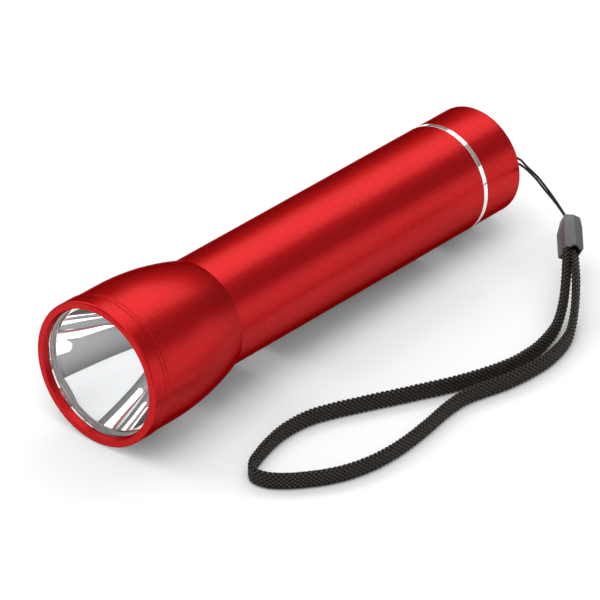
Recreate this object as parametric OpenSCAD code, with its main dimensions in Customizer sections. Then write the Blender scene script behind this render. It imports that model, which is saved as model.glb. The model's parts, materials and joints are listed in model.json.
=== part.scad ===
// Aluminium flashlight with a wrist lanyard, lying on its side.
// The torch axis runs along Y with the lens towards -Y and the tail cap towards +Y.
// Inside at_torch() a part is drawn upright: Z is the distance back from the front face,
// X stays X and -Y becomes up.

/* [Head] */
// Outer radius of the bezel ring
bezel_r = 16.95; // [16.8:0.05:17.4]
// Length of the bezel ring
bezel_len = 4.8; // [4.6:0.1:5]
// Outer radius of the head shell
head_r = 16.75; // [16.6:0.05:16.9]
// Distance from the front face to where the head starts to taper
taper_start = 12; // [10:0.5:14]
// Distance from the front face to the rear edge of the head
head_end = 32.6; // [32:0.1:33]
// Radius of the arc that shapes the taper
taper_arc = 67; // [64:1:72]
// Radius of the clear lens
lens_r = 15.25; // [15.1:0.05:15.25]
// Thickness of the lens
lens_t = 1.7; // [1.2:0.1:1.7]

/* [Barrel] */
// Outer radius of the barrel and the tail cap
barrel_r = 13; // [12.9:0.05:13.2]
// Distance from the front face to the bright trim ring
trim_start = 116.6; // [116:0.1:118]
// Width of the bright trim ring
trim_w = 1.3; // [1:0.1:1.6]
// Whole length of the torch
torch_len = 129.7; // [129.4:0.1:132]

/* [Tail switch] */
// Radius of the push button
button_r = 5.4; // [4:0.1:5.4]
// Diameter of the lanyard pin
pin_d = 1.2; // [1:0.1:1.2]

/* [Lanyard] */
// Width of the flat braided strap
strap_w = 4; // [3:0.1:4]
// Thickness of the flat braided strap
strap_t = 1.6; // [1.2:0.1:1.6]
// Diameter of one strand of the string
string_d = 0.5; // [0.4:0.05:0.55]
// Length of the clip
clip_len = 9.6; // [9:0.1:11]

/* [Hidden] */
$fn = 96;
fit = 0.05;
tail_edge = 0.5;

// Where the torch touches the floor: the tapering head and the rounded tail edge.
tail_back = torch_len - tail_edge;
rest_a = head_r - taper_arc - barrel_r + tail_edge;
rest_b = taper_start - tail_back;
lie = atan2(rest_b, rest_a) + acos((tail_edge - taper_arc) / norm([rest_a, rest_b]));
rim_r = 16.5;
axis_z = (head_r - taper_arc) * cos(lie) + taper_start * sin(lie) + taper_arc;
tail_flat_r = barrel_r - tail_edge;
axis_y = -(torch_len * cos(lie) + (tail_flat_r - rim_r) * sin(lie)) / 2;

// Lens stack
lip_t = 1.6;
mouth_r = 15.3;
lip_r = 14.95;
lens_at = 1.65;
gasket_at = lens_at + lens_t + fit;
gasket_t = 0.6;
gasket_w = 0.35;
flange_at = gasket_at + gasket_t + fit;
flange_t = 1.15;
neck_r = 16.1;
neck_in_r = 15.35;
neck_at = 1.9;
shoulder_at = 5.05;
shell_in_r = 14.8;
throat_r = 12;

// Light engine
bell_r = 14.2;
bell_hole_r = 3.4;
bell_end = 22.6;
bell_wall = 0.9;
bell_k = (bell_r * bell_r - bell_hole_r * bell_hole_r) / (bell_end - flange_at);
led_board_at = 23.6;
led_board_r = 9.2;
wire_x = 6.4;
wire_at = 22.9;
pill_at = 24.6;
pill_flange_t = 1.4;
pill_end = 44;
pill_r = 11.45;
driver_t = 1.6;

// Barrel
bore_r = 11.5;
nose_at = pill_at + pill_flange_t;
nose_r = 12.6;
thread_r = 12.2;
thread_at = 108;

// Battery carrier
carrier_at = 52;
carrier_len = 52;
carrier_r = 11.2;
disc_t = 3;
cell_r = 5.1;
cell_ring = 6.1;
cell_len = 43.5;
nub_len = 1;
contact_t = 0.2;
cell_gap = carrier_len - 2 * disc_t - 2 * contact_t - cell_len - nub_len;
post_angles = [60, 180, 300];
valley_r = 8.9;

// Tail
cap_at = trim_start + trim_w;
nose_end = 110;
seal_at = 113;
seal_w = 1.1;
cap_nose_r = thread_r - fit;
cap_bore_r = 10.3;
cap_wall_at = 125.2;
button_at = 126.7;
button_flange_r = 6.6;
switch_board_at = 111;
switch_board_t = 1.5;
switch_top = 119.5;
pocket_ring = 8.9;
pocket_angle = 10;
pocket_l = 3.4;
pocket_w = 2.4;
pocket_depth = 3;
pin_deep = 1.5;
pin_len = 3.8;

// Clip, drawn upright on its lower end, then turned and leaned
clip_foot = [39.4, 49.9, 10];
clip_turn = [-70.5, 0, 41.4];
clip_roll = 20;
clip_x = 2.2;
clip_y = 2.7;
clip_ridge = 2.85;
clip_split = -2.1;
strap_in = 5.1;

// Strap: each point is x, y, z and how far the strap leans over, in degrees
strap_route = [
    [36.8, 54, 11.4, 20], [39.9, 50.5, 9.7, 20], [44, 46, 7.9, 14], [47.5, 41.5, 5.3, 8],
    [50.9, 36.3, 3.3, 3], [53.6, 30.6, 2.2, 0], [55.2, 22.5, 2.05, 0], [55, 15, 2.05, 0],
    [53.9, 8.3, 2.05, 0], [52.1, 2.5, 2.05, 0], [51, -2.5, 2.05, 0], [51.2, -8.5, 2.05, 0],
    [52.4, -17.5, 2.05, 0], [53, -26, 2.05, 0], [52.6, -33.2, 2.05, 0], [51.2, -39.3, 2.05, 0],
    [49, -44.3, 2.05, 0], [46.2, -48.4, 2.05, 0], [43, -52, 2.05, 0], [39.6, -54.4, 2.05, 0],
    [36.2, -54.8, 2.05, 0], [33.7, -52.7, 2.05, 0], [32.2, -48.9, 2.05, 0],
    [30.7, -43.2, 2.05, 0], [29.9, -37, 2.05, 0], [30.5, -30.5, 2.05, 0],
    [32.5, -25, 2.05, 0], [35, -20, 2.05, 0], [37.5, -15.2, 2.05, 0], [40.1, -10.4, 2.05, 0],
    [42.6, -5.6, 2.05, 0], [45.1, -0.8, 2.05, 0], [47.4, 4.4, 2.05, 0], [49.4, 10.1, 2.05, 0],
    [50.8, 16.6, 2.05, 0], [50.8, 24, 2.1, 0], [49.3, 31.8, 2.7, -3], [46.9, 37.4, 4.4, -8],
    [43.8, 42.5, 6.9, -14], [38.9, 49.3, 10.3, -20], [35.7, 52.8, 11.9, -20]];

// String: out of the clip, round the pin in the tail cap and back
string_route = [
    [35.9, 54.4, 11.9], [33.3, 56.85, 12.9], [30.9, 58.35, 13.15], [26.25, 61.05, 13.65],
    [21.6, 63.35, 14.4], [17.4, 65.45, 14.7], [13.2, 67.05, 14.9], [10.2, 68.1, 15.3],
    [8.7, 67.2, 15.6], [8.6, 65, 15.6], [8.6, 63.3, 15.6], [8.7, 62.6, 15.2],
    [8.8, 62.3, 14.5], [8.9, 62.6, 13.8], [9, 63.3, 13.5], [9, 65, 13.5], [9.2, 66.6, 13.8],
    [10.4, 67.2, 14.6], [12.9, 66.6, 14.7], [17.1, 65, 14.5], [21.3, 62.9, 14.2],
    [26, 60.6, 13.9], [30.7, 58, 13.6], [33.1, 56.4, 13.3], [35.4, 53.9, 12.1]];

// Colours
anodised_red = [0.78, 0.05, 0.07];
pale_metal = [0.86, 0.86, 0.84];
black = [0.05, 0.05, 0.055];

// One point on the smooth curve between b and c, with a and d on either side
function smooth(a, b, c, d, t) =
    b + t * (c - a) / 2 + t * t * (a - 2.5 * b + 2 * c - d / 2)
    + t * t * t * (1.5 * (b - c) + (d - a) / 2);

// The route with every gap filled by the same number of steps
function fill(pts, steps) = [
    for (i = [0 : len(pts) - 2], k = [0 : steps - 1])
        smooth(pts[max(i - 1, 0)], pts[i], pts[i + 1], pts[min(i + 2, len(pts) - 1)], k / steps),
    pts[len(pts) - 1]];

function unit(v) = v / norm(v);
function place(p) = [p[0], p[1], p[2]];
function heading(pts, i) =
    unit(place(pts[min(i + 1, len(pts) - 1)]) - place(pts[max(i - 1, 0)]));

// One ring of a swept tube, in the plane across the heading
function ring(p, along, up, shape) =
    let (side = unit(cross(along, up)), rise = cross(side, along), lean = is_undef(p[3]) ? 0 : p[3])
    let (a = side * cos(lean) + rise * sin(lean), b = rise * cos(lean) - side * sin(lean))
    [for (q = shape) place(p) + q[0] * a + q[1] * b];

// A closed tube swept along points, with a flat cap at each end
module tube_along(pts, shape, up) {
    n = len(shape);
    last = len(pts) - 1;
    rings = [for (i = [0 : last]) each ring(pts[i], heading(pts, i), up, shape)];
    walls = [for (i = [0 : last - 1], k = [0 : n - 1])
        let (a = i * n + k, b = i * n + (k + 1) % n)
        each [[a, b, b + n], [a, b + n, a + n]]];
    caps = [[for (k = [n - 1 : -1 : 0]) k], [for (k = [0 : n - 1]) last * n + k]];
    polyhedron(rings, concat(walls, caps), convexity = 10);
}

function round_shape(r, n) = [for (k = [0 : n - 1]) r * [cos(360 * k / n), -sin(360 * k / n)]];
function flat_shape(t, w, c) = [[t / 2, c - w / 2], [t / 2 - c, -w / 2], [c - t / 2, -w / 2],
    [-t / 2, c - w / 2], [-t / 2, w / 2 - c], [c - t / 2, w / 2], [t / 2 - c, w / 2],
    [t / 2, w / 2 - c]];

// A coil spring that stands on z = 0 and narrows from r1 to r2
module coil(r1, r2, tall, wire, turns) {
    steps = 12 * turns;
    pts = [for (i = [0 : steps])
        let (f = i / steps, r = r1 + (r2 - r1) * f)
        [r * cos(30 * i), r * sin(30 * i), wire / 2 + (tall - wire) * f]];
    tube_along(pts, round_shape(wire / 2, 6), [0, 0, 1]);
}

// Draws children on the torch axis, lying on the floor
module at_torch() {
    translate([0, axis_y, axis_z])
        rotate([-(90 + lie), 0, 0])
            children();
}

// A ring or disc on the torch axis between two distances from the front
module band(from, to, outer, inner = 0) {
    translate([0, 0, from])
        difference() {
            cylinder(h = to - from, r = outer);
            if (inner > 0)
                translate([0, 0, -1])
                    cylinder(h = to - from + 2, r = inner);
        }
}

// A ring of round section for the seals
module seal(at, r, thick) {
    translate([0, 0, at])
        rotate_extrude()
            translate([r, 0])
                circle(d = thick, $fn = 24);
}

module at_clip() {
    translate(clip_foot)
        rotate(clip_turn)
            rotate([0, 0, clip_roll])
                children();
}

function taper_r(s) = head_r - taper_arc + sqrt(pow(taper_arc, 2) - pow(s - taper_start, 2));
function bell(s) = sqrt(bell_hole_r * bell_hole_r + bell_k * (bell_end - s));

// Head

module bezel_ring() {
    color(anodised_red)
        at_torch()
            rotate_extrude()
                polygon([[mouth_r, 0], [rim_r, 0], [rim_r + 0.2, 0.06], [bezel_r - 0.06, 0.25],
                    [bezel_r, 0.45], [bezel_r, bezel_len], [neck_r + fit, bezel_len],
                    [neck_r + fit, lip_t], [lip_r, lip_t], [lip_r, lip_t - 0.3]]);
}

module lens() {
    color([0.8, 0.9, 0.95, 0.35])
        at_torch()
            band(lens_at, lens_at + lens_t, lens_r);
}

module lens_gasket() {
    color("white")
        at_torch()
            band(gasket_at, gasket_at + gasket_t, lens_r, lens_r - gasket_w);
}

module head_shell() {
    rear = [for (k = [0 : 28]) let (s = taper_start + (head_end - taper_start) * k / 28)
        [taper_r(s), s]];
    color(anodised_red)
        at_torch()
            rotate_extrude()
                polygon(concat(
                    [[neck_in_r, neck_at], [neck_r, neck_at], [neck_r, shoulder_at],
                        [head_r - 0.2, shoulder_at], [head_r, shoulder_at + 0.2]],
                    rear,
                    [[nose_r + fit, head_end], [nose_r + fit, pill_at - fit],
                        [throat_r, pill_at - fit], [throat_r, 22], [shell_in_r, 15],
                        [shell_in_r, flange_at + flange_t],
                        [neck_in_r, flange_at + flange_t]]));
}

module reflector() {
    front = flange_at;
    inside = [for (k = [0 : 24]) let (s = front + (bell_end - front) * k / 24) [bell(s), s]];
    outside = [for (k = [24 : -1 : 0])
        let (s = front + flange_t + (bell_end - front - flange_t) * k / 24)
        [min(bell(s) + bell_wall, 14.7), s]];
    color(pale_metal)
        at_torch()
            rotate_extrude()
                polygon(concat(inside, outside, [[lens_r, front + flange_t], [lens_r, front]]));
}

module led_centring_ring() {
    color("white")
        at_torch()
            band(bell_end, led_board_at, 5.6, 3.9);
}

module led_package() {
    color([0.92, 0.9, 0.82])
        at_torch()
            translate([0, 0, 23])
                cube([5, 5, 1.2], center = true);
}

module led_dome() {
    color([0.95, 0.9, 0.5, 0.8])
        at_torch()
            translate([0, 0, 22.4])
                difference() {
                    sphere(r = 2.3, $fn = 48);
                    translate([-3, -3, 0])
                        cube(6);
                }
}

module led_board() {
    color([0.9, 0.9, 0.88])
        at_torch()
            difference() {
                band(led_board_at, pill_at, led_board_r);
                for (a = [30 : 60 : 330])
                    rotate([0, 0, a])
                        translate([led_board_r, 0, led_board_at - 1])
                            cylinder(h = 4, r = 1.3);
                for (x = [-wire_x, wire_x])
                    translate([x, 0, led_board_at - 1])
                        cylinder(h = 4, r = 0.8, $fn = 32);
            }
}

module led_wires() {
    color("firebrick")
        at_torch()
            for (x = [-wire_x, wire_x])
                translate([x, 0, wire_at])
                    cylinder(h = pill_end - driver_t - wire_at, r = 0.6, $fn = 24);
}

module led_pill() {
    color([0.75, 0.62, 0.3])
        at_torch()
            difference() {
                union() {
                    band(pill_at, nose_at - fit, nose_r - 0.1);
                    band(nose_at - 1, pill_end, pill_r);
                }
                translate([0, 0, pill_at + 4])
                    cylinder(h = 20, r = 9.4);
                translate([0, 0, pill_end - driver_t])
                    cylinder(h = 5, r = 10);
                for (x = [-wire_x, wire_x])
                    translate([x, 0, pill_at - 1])
                        cylinder(h = 8, r = 0.9);
            }
}

module driver_board() {
    color([0.1, 0.35, 0.2])
        at_torch()
            band(pill_end - driver_t, pill_end, 9.9);
}

module driver_parts() {
    top = pill_end - driver_t;
    color([0.12, 0.12, 0.13])
        at_torch() {
            translate([-2.4, -5, top - 1.6])
                cube([4.8, 3.9, 1.6]);
            translate([0, 3.6, top - 3.2])
                cylinder(h = 3.2, r = 2.6, $fn = 48);
            for (x = [-4.6, 3.4])
                translate([x, -1, top - 0.8])
                    cube([1.2, 2, 0.8]);
        }
}

module driver_spring() {
    color("gold")
        at_torch()
            translate([0, 0, pill_end])
                coil(3.6, 2, carrier_at - 0.6 - pill_end, 0.6, 5);
}

module head_o_ring() {
    color(black)
        at_torch()
            seal(29.5, nose_r - 0.3, 0.6);
}

// Barrel and battery carrier

module barrel_tube() {
    color(anodised_red)
        at_torch()
            rotate_extrude()
                polygon([[bore_r, nose_at], [nose_r, nose_at], [nose_r, 29.1],
                    [nose_r - 0.6, 29.1], [nose_r - 0.6, 29.9], [nose_r, 29.9],
                    [nose_r, head_end], [barrel_r, head_end], [barrel_r, trim_start - 0.15],
                    [barrel_r - 0.15, trim_start], [thread_r, trim_start],
                    [thread_r, thread_at], [bore_r, thread_at]]);
}

// A battery holder disc with a countersunk hole over each post
module carrier_disc(holes) {
    difference() {
        cylinder(h = disc_t, r = carrier_r);
        translate([0, 0, -1])
            cylinder(h = disc_t + 2, r = 1.1);
        if (holes)
            for (a = post_angles)
                rotate([0, 0, a])
                    translate([valley_r, 0, 0]) {
                        translate([0, 0, -1])
                            cylinder(h = disc_t + 2, r = 1);
                        translate([0, 0, disc_t - 1.2])
                            cylinder(h = 2, r = 1.7);
                    }
    }
}

module carrier_front_disc() {
    color(black)
        at_torch()
            translate([0, 0, carrier_at])
                carrier_disc(false);
}

module carrier_rear_disc() {
    color(black)
        at_torch()
            translate([0, 0, carrier_at + carrier_len - disc_t])
                carrier_disc(true);
}

module carrier_posts() {
    tall = carrier_len - 2 * disc_t;
    color([0.12, 0.12, 0.13])
        at_torch()
            translate([0, 0, carrier_at + disc_t])
                for (a = post_angles)
                    difference() {
                        linear_extrude(tall)
                            difference() {
                                intersection() {
                                    circle(r = carrier_r);
                                    rotate([0, 0, a])
                                        translate([7, -3])
                                            square([6, 6]);
                                }
                                for (b = [0, 120, 240])
                                    rotate([0, 0, b])
                                        translate([cell_ring, 0])
                                            circle(r = cell_r + 0.25);
                            }
                        rotate([0, 0, a])
                            translate([valley_r, 0, tall - 5])
                                cylinder(h = 6, r = 0.9);
                    }
}

// Contact plates: a stud through the disc, a button outside and pads inside
module contact_set(out_r, out_t) {
    translate([0, 0, -out_t])
        cylinder(h = out_t, r = out_r);
    cylinder(h = disc_t, r = 1);
    translate([0, 0, disc_t])
        linear_extrude(contact_t)
            difference() {
                circle(r = 10.4);
                for (a = post_angles)
                    rotate([0, 0, a])
                        translate([6.6, -3.5])
                            square([8, 7]);
            }
}

module carrier_front_contact() {
    color("gold")
        at_torch()
            translate([0, 0, carrier_at])
                contact_set(4, 0.6);
}

module carrier_rear_contact() {
    color("gold")
        at_torch()
            translate([0, 0, carrier_at + carrier_len])
                rotate([180, 0, 0])
                    contact_set(6, 0.4);
}

module carrier_springs() {
    low = carrier_at + disc_t + contact_t;
    high = carrier_at + carrier_len - disc_t - contact_t;
    color("silver")
        at_torch()
            for (k = [0 : 2])
                rotate([0, 0, 120 * k])
                    translate([cell_ring, 0, k == 1 ? low : high - cell_gap])
                        coil(3.4, 1.6, cell_gap, 0.4, 2);
}

module carrier_screws() {
    top = carrier_at + carrier_len;
    color("silver")
        at_torch()
            for (a = post_angles)
                rotate([0, 0, a])
                    translate([valley_r, 0, 0]) {
                        translate([0, 0, top - 7.5])
                            cylinder(h = 6.6, r = 0.85, $fn = 32);
                        translate([0, 0, top - 1.15])
                            cylinder(h = 1.1, r = 1.6, $fn = 32);
                    }
}

// A battery cell standing on its flat end, with the raised contact on top
module cell() {
    cylinder(h = cell_len, r = cell_r);
    cylinder(h = cell_len + nub_len, r = 1.9);
}

module placed_cell(k, backwards) {
    low = carrier_at + disc_t + contact_t;
    color([0.25, 0.3, 0.36])
        at_torch()
            rotate([0, 0, 120 * k])
                translate([cell_ring, 0, backwards ? low + cell_gap : low + nub_len + cell_len])
                    rotate([backwards ? 0 : 180, 0, 0])
                        cell();
}

module cell_1() {
    placed_cell(0, false);
}

module cell_2() {
    placed_cell(1, true);
}

module cell_3() {
    placed_cell(2, false);
}

module trim_ring() {
    color([0.93, 0.92, 0.9])
        at_torch()
            band(trim_start + fit, cap_at - fit, barrel_r, thread_r + fit);
}

// Tail

module at_pocket() {
    rotate([0, 0, -pocket_angle])
        translate([pocket_ring, 0, torch_len])
            children();
}

module pin_rod() {
    translate([-pin_len / 2, 0, -pin_deep])
        rotate([0, 90, 0])
            cylinder(h = pin_len, d = pin_d, $fn = 48);
}

module tail_cap() {
    color(anodised_red)
        at_torch()
            difference() {
                rotate_extrude()
                    polygon([[cap_bore_r, nose_end], [cap_nose_r, nose_end],
                        [cap_nose_r, seal_at], [cap_nose_r - 1.05, seal_at],
                        [cap_nose_r - 1.05, seal_at + seal_w], [cap_nose_r, seal_at + seal_w],
                        [cap_nose_r, cap_at],
                        [barrel_r - 0.15, cap_at], [barrel_r, cap_at + 0.15],
                        for (a = [0 : 15 : 90])
                            [tail_flat_r + tail_edge * cos(a), tail_back + tail_edge * sin(a)],
                        [button_r + 0.8, torch_len], [button_r + 0.3, torch_len - 0.5],
                        [button_r + 0.3, button_at], [button_flange_r + 0.3, button_at],
                        [button_flange_r + 0.3, cap_wall_at], [cap_bore_r, cap_wall_at]]);
                at_pocket()
                    for (y = [-1, 1])
                        translate([0, y * (pocket_l - pocket_w) / 2, -pocket_depth])
                            cylinder(h = pocket_depth + 1, d = pocket_w, $fn = 48);
                at_pocket()
                    translate([-pocket_w / 2, (pocket_w - pocket_l) / 2, -pocket_depth])
                        cube([pocket_w, pocket_l - pocket_w, pocket_depth + 1]);
                at_pocket()
                    pin_rod();
            }
}

module lanyard_pin() {
    color("silver")
        at_torch()
            at_pocket()
                pin_rod();
}

module tail_o_ring() {
    color(black)
        at_torch()
            seal(seal_at + seal_w / 2, cap_nose_r - 0.5, 1);
}

module switch_retainer() {
    color([0.7, 0.7, 0.72])
        at_torch()
            difference() {
                band(nose_end, switch_board_at, cap_bore_r - fit, 7.6);
                for (x = [-8.9, 8.9])
                    translate([x, 0, nose_end - 1])
                        cylinder(h = 3, r = 0.7, $fn = 32);
            }
}

module switch_board() {
    color([0.1, 0.35, 0.2])
        at_torch()
            band(switch_board_at, switch_board_at + switch_board_t, cap_bore_r - fit);
}

module switch_spring() {
    tall = switch_board_at - (carrier_at + carrier_len + 0.4);
    color("gold")
        at_torch()
            translate([0, 0, switch_board_at])
                rotate([180, 0, 0])
                    coil(5, 3, tall, 0.8, 4);
}

module switch_body() {
    base = switch_board_at + switch_board_t;
    color([0.15, 0.15, 0.16])
        at_torch()
            difference() {
                translate([-4.5, -4.5, base])
                    cube([9, 9, switch_top - base]);
                translate([0, 0, base + 2.5])
                    cylinder(h = 10, r = 1.9);
            }
}

module switch_holder() {
    base = switch_board_at + switch_board_t;
    color([0.2, 0.2, 0.21])
        at_torch()
            difference() {
                band(base, 123.2, cap_bore_r - fit);
                translate([-4.6, -4.6, base - 1])
                    cube([9.2, 9.2, switch_top - base + 1]);
                translate([0, 0, base])
                    cylinder(h = 20, r = 3);
            }
}

module switch_plunger() {
    color("white")
        at_torch()
            band(117, cap_wall_at + 0.2, 1.85);
}

module tail_button() {
    top = torch_len - 0.4;
    color(black)
        at_torch()
            rotate_extrude()
                polygon([[0, cap_wall_at + 0.2], [button_flange_r, cap_wall_at + 0.2],
                    [button_flange_r, button_at - 0.05], [button_r, button_at - 0.05],
                    for (a = [0 : 15 : 90])
                        [button_r - 0.5 + 0.5 * cos(a), top - 0.7 + 0.5 * sin(a)],
                    [button_r - 1.4, top], [0, top]]);
}

// Lanyard

module lanyard_string() {
    color(black)
        tube_along(fill(string_route, 2), round_shape(string_d / 2, 8), [1, 0, 1]);
}

module wrist_strap() {
    color(black)
        tube_along(strap_route, flat_shape(strap_t, strap_w, 0.45), [0, 0, 1]);
}

// The clip's outside: a box with a low ridge in front, drawn in towards the string
module clip_outside() {
    hull() {
        for (z = [0.3, clip_len - 3])
            translate([0, 0, z])
                linear_extrude(0.1)
                    polygon([[-clip_x, -2.35], [0.1, -clip_ridge], [clip_x, -2.35],
                        [clip_x, clip_y - 0.4], [clip_x - 0.4, clip_y],
                        [0.4 - clip_x, clip_y], [-clip_x, clip_y - 0.4]]);
        linear_extrude(0.1)
            polygon([[0.3 - clip_x, -2.15], [0.1, -2.6], [clip_x - 0.3, -2.15],
                [clip_x - 0.3, 2.4], [0.3 - clip_x, 2.4]]);
        translate([0, 0, clip_len - 0.1])
            linear_extrude(0.1)
                polygon([[-1.8, -2], [0.1, -2.5], [1.95, -2], [1.95, 0.9], [-1.8, 0.9]]);
    }
}

module clip_hollow() {
    translate([-1.8, -2.3, -1])
        cube([3.6, 4.45, 1 + strap_in]);
    translate([-0.9, -0.45, strap_in + 0.7])
        cube([1.8, 0.9, clip_len]);
}

module clip_cover() {
    color([0.32, 0.32, 0.34])
        at_clip()
            intersection() {
                clip_outside();
                translate([-5, -10 + clip_split, -1])
                    cube([10, 10, 20]);
            }
}

module clip_base() {
    color([0.42, 0.42, 0.44])
        at_clip()
            difference() {
                clip_outside();
                clip_hollow();
                translate([-5, -10 + clip_split + 0.02, -1])
                    cube([10, 10, 20]);
            }
}

bezel_ring();
lens();
lens_gasket();
head_shell();
reflector();
led_centring_ring();
led_package();
led_dome();
led_board();
led_wires();
led_pill();
driver_board();
driver_parts();
driver_spring();
head_o_ring();
barrel_tube();
carrier_front_disc();
carrier_rear_disc();
carrier_posts();
carrier_front_contact();
carrier_rear_contact();
carrier_springs();
carrier_screws();
cell_1();
cell_2();
cell_3();
trim_ring();
tail_cap();
tail_o_ring();
switch_retainer();
switch_board();
switch_spring();
switch_body();
switch_holder();
switch_plunger();
tail_button();
lanyard_pin();
lanyard_string();
clip_cover();
clip_base();
wrist_strap();
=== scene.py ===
import json
import math

import bmesh
import bpy
from mathutils import Matrix, Vector


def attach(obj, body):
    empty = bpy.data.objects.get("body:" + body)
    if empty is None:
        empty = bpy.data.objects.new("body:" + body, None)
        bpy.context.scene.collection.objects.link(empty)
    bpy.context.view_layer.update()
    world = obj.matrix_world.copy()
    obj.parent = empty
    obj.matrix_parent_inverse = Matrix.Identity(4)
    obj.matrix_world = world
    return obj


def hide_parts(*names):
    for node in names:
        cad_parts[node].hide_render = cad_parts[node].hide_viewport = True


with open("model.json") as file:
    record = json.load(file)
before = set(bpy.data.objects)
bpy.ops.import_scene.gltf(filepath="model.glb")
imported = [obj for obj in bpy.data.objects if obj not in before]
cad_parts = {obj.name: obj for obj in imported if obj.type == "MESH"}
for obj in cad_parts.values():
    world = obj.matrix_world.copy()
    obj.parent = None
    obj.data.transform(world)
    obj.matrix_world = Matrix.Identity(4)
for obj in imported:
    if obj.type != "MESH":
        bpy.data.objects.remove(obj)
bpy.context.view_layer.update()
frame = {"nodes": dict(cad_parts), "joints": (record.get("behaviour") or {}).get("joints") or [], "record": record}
nodes = frame["nodes"]
joints = {joint["name"]: joint for joint in frame["joints"]}
slotOf = {row["node"]: row["material_slot"] for row in frame["record"]["subparts"]}

mm = 0.001
fullTurn = 2 * math.pi

# The torch axis, from the middle of the front face back to the tail
frontCentre = Vector(joints["cap_unscrew"]["pos_m"])
backward = -Vector(joints["cap_unscrew"]["axis"])
sideways = Vector((1, 0, 0))
downward = backward.cross(sideways)
torchPlace = Matrix((sideways, downward, backward)).transposed().to_4x4()
torchPlace.translation = frontCentre
torchScale = torchPlace @ Matrix.Scale(mm, 4)  # from millimetres along the torch

cameraSetup = {
    "azimuth": 40.407,  # degrees round from straight ahead of the lens
    "elevation": 31.708,
    "distance": 1.32928,
    "focalLength": 360,
    "sensorWidth": 36,
    "aim": (0.00325, -0.00098, 0.00738),
}


def makeCamera(setup):
    a, e = math.radians(setup["azimuth"]), math.radians(setup["elevation"])
    back = Vector((math.sin(a) * math.cos(e), -math.cos(a) * math.cos(e), math.sin(e)))
    data = bpy.data.cameras.new("camera")
    data.lens = setup["focalLength"]
    data.sensor_width = setup["sensorWidth"]
    data.clip_start, data.clip_end = 0.1, 20
    camera = bpy.data.objects.new("camera", data)
    bpy.context.scene.collection.objects.link(camera)
    camera.location = Vector(setup["aim"]) + back * setup["distance"]
    camera.rotation_mode = "QUATERNION"
    camera.rotation_quaternion = (-back).to_track_quat("-Z", "Y")
    bpy.context.scene.camera = camera


makeCamera(cameraSetup)
print("camera set")


def addNode(tree, kind, sockets=None, **settings):
    # A socket's value is either a fixed one or another node's output
    node = tree.nodes.new(kind)
    for key, value in settings.items():
        setattr(node, key, value)
    for key, value in (sockets or {}).items():
        if isinstance(value, bpy.types.NodeSocket):
            tree.links.new(value, node.inputs[key])
        else:
            node.inputs[key].default_value = value
    return node


def addSocket(tree, name, kind, value=None, out=False):
    made = tree.interface.new_socket(
        name, in_out="OUTPUT" if out else "INPUT", socket_type="NodeSocket" + kind)
    if value is not None:
        made.default_value = value


grainShape = {
    "fineDetail": 2.0,
    "fineRoughness": 0.6,
    "driftScale": 60.0,  # per metre
    "driftDetail": 2.0,
    "reliefDepth": 0.1 * mm,
}


def makeGrainGroup(shape):
    # Fine grain in colour, gloss and relief, with slow drifts of tone across the piece
    tree = bpy.data.node_groups.new("surfaceGrain", "ShaderNodeTree")
    addSocket(tree, "Colour", "Color", (0.5, 0.5, 0.5, 1))
    addSocket(tree, "Grain Size", "Float", 0.4)  # millimetres
    addSocket(tree, "Stretch", "Vector", (1, 1, 1))
    addSocket(tree, "Tone", "Float", 0.1)
    addSocket(tree, "Drift", "Float", 0.05)
    addSocket(tree, "Roughness", "Float", 0.5)
    addSocket(tree, "Gloss Change", "Float", 0.05)
    addSocket(tree, "Relief", "Float", 0.1)
    addSocket(tree, "Colour", "Color", out=True)
    addSocket(tree, "Roughness", "Float", out=True)
    addSocket(tree, "Normal", "Vector", out=True)
    given = tree.nodes.new("NodeGroupInput").outputs
    place = addNode(tree, "ShaderNodeTexCoord").outputs["Object"]
    fine = addNode(tree, "ShaderNodeMath", {0: 1 / mm, 1: given["Grain Size"]},
                   operation="DIVIDE").outputs[0]
    scaled = addNode(tree, "ShaderNodeVectorMath", {0: place, "Scale": fine},
                     operation="SCALE").outputs[0]
    drawn = addNode(tree, "ShaderNodeVectorMath", {0: scaled, 1: given["Stretch"]},
                    operation="MULTIPLY").outputs[0]
    grain = addNode(tree, "ShaderNodeTexNoise", {
        "Vector": drawn, "Scale": 1.0, "Detail": shape["fineDetail"],
        "Roughness": shape["fineRoughness"]}).outputs[0]
    slow = addNode(tree, "ShaderNodeTexNoise", {
        "Vector": place, "Scale": shape["driftScale"],
        "Detail": shape["driftDetail"]}).outputs[0]

    def swing(value, amount):
        # value runs about 0.5: the result runs about 0 by that amount
        centred = addNode(tree, "ShaderNodeMath", {0: value, 1: 0.5}, operation="SUBTRACT")
        return addNode(tree, "ShaderNodeMath", {0: centred.outputs[0], 1: amount},
                       operation="MULTIPLY").outputs[0]

    tones = addNode(tree, "ShaderNodeMath", {
        0: swing(grain, given["Tone"]), 1: swing(slow, given["Drift"])}, operation="ADD")
    bright = addNode(tree, "ShaderNodeMath", {0: tones.outputs[0], 1: 1.0}, operation="ADD")
    colour = addNode(tree, "ShaderNodeVectorMath", {
        0: given["Colour"], "Scale": bright.outputs[0]}, operation="SCALE")
    gloss = addNode(tree, "ShaderNodeMath", {
        0: swing(grain, given["Gloss Change"]), 1: given["Roughness"]}, operation="ADD")
    bump = addNode(tree, "ShaderNodeBump", {
        "Strength": given["Relief"], "Distance": shape["reliefDepth"], "Height": grain})
    addNode(tree, "NodeGroupOutput", {
        "Colour": colour.outputs[0], "Roughness": gloss.outputs[0],
        "Normal": bump.outputs[0]})
    return tree


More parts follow.
